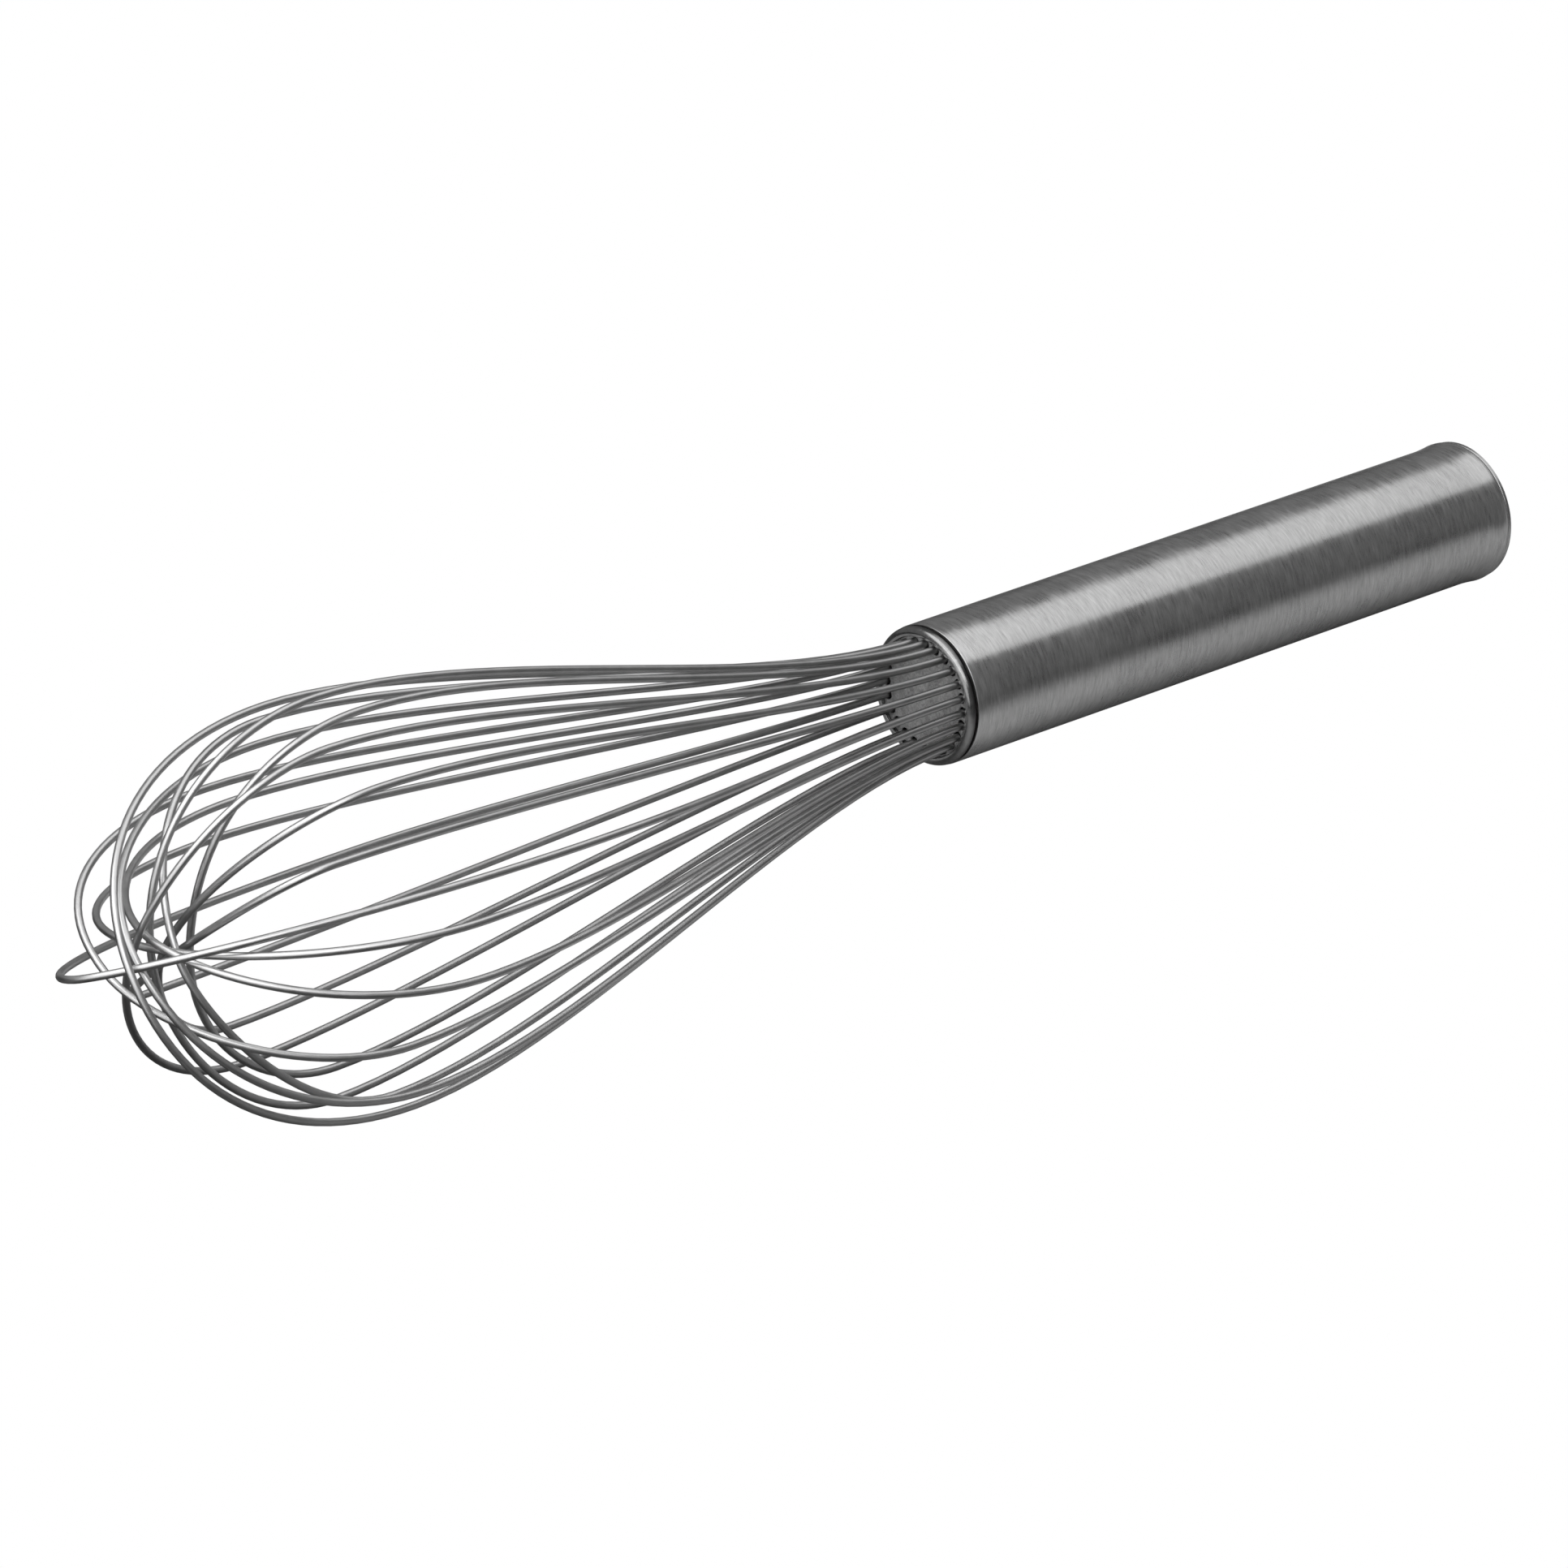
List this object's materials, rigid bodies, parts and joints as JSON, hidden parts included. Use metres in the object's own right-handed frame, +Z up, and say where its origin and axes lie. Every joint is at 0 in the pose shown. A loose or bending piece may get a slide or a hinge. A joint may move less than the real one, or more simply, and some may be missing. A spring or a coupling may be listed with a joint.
{
  "type": "balloon whisk",
  "caption": "Balloon whisk with a brushed steel tube handle, a polished collar and a round balloon of sprung wire loops, lying on its side.",
  "frame": {"origin": "centre of the overall box in X and Y, at the level of the table the whisk lies on", "axes": "+X along the whisk towards the handle's rear end, +Z up from the table, +Y to the left seen from the handle"},
  "size_m": [0.3038, 0.069, 0.068],
  "materials": {
    "handle_steel": "satin, brushed round the tube",
    "cap_steel": "polished rim, satin face",
    "collar_steel": "polished",
    "guide_steel": "matt, slightly pitted",
    "seal_resin": "cast resin",
    "disc_steel": "plain",
    "plug_resin": "cast resin",
    "wire_steel": "bright drawn wire"
  },
  "bodies": {
    "root": {"handle_tube": "handle_steel", "end_cap": "cap_steel", "collar_ring": "collar_steel", "wire_guide": "guide_steel", "seal_core": "seal_resin", "inner_disc": "disc_steel", "end_plug": "plug_resin", "wire_01": "wire_steel", "wire_02": "wire_steel", "wire_03": "wire_steel", "wire_04": "wire_steel", "wire_05": "wire_steel", "wire_06": "wire_steel", "wire_07": "wire_steel", "wire_08": "wire_steel", "wire_09": "wire_steel", "wire_10": "wire_steel", "wire_11": "wire_steel", "wire_12": "wire_steel"}
  },
  "joints": []
}
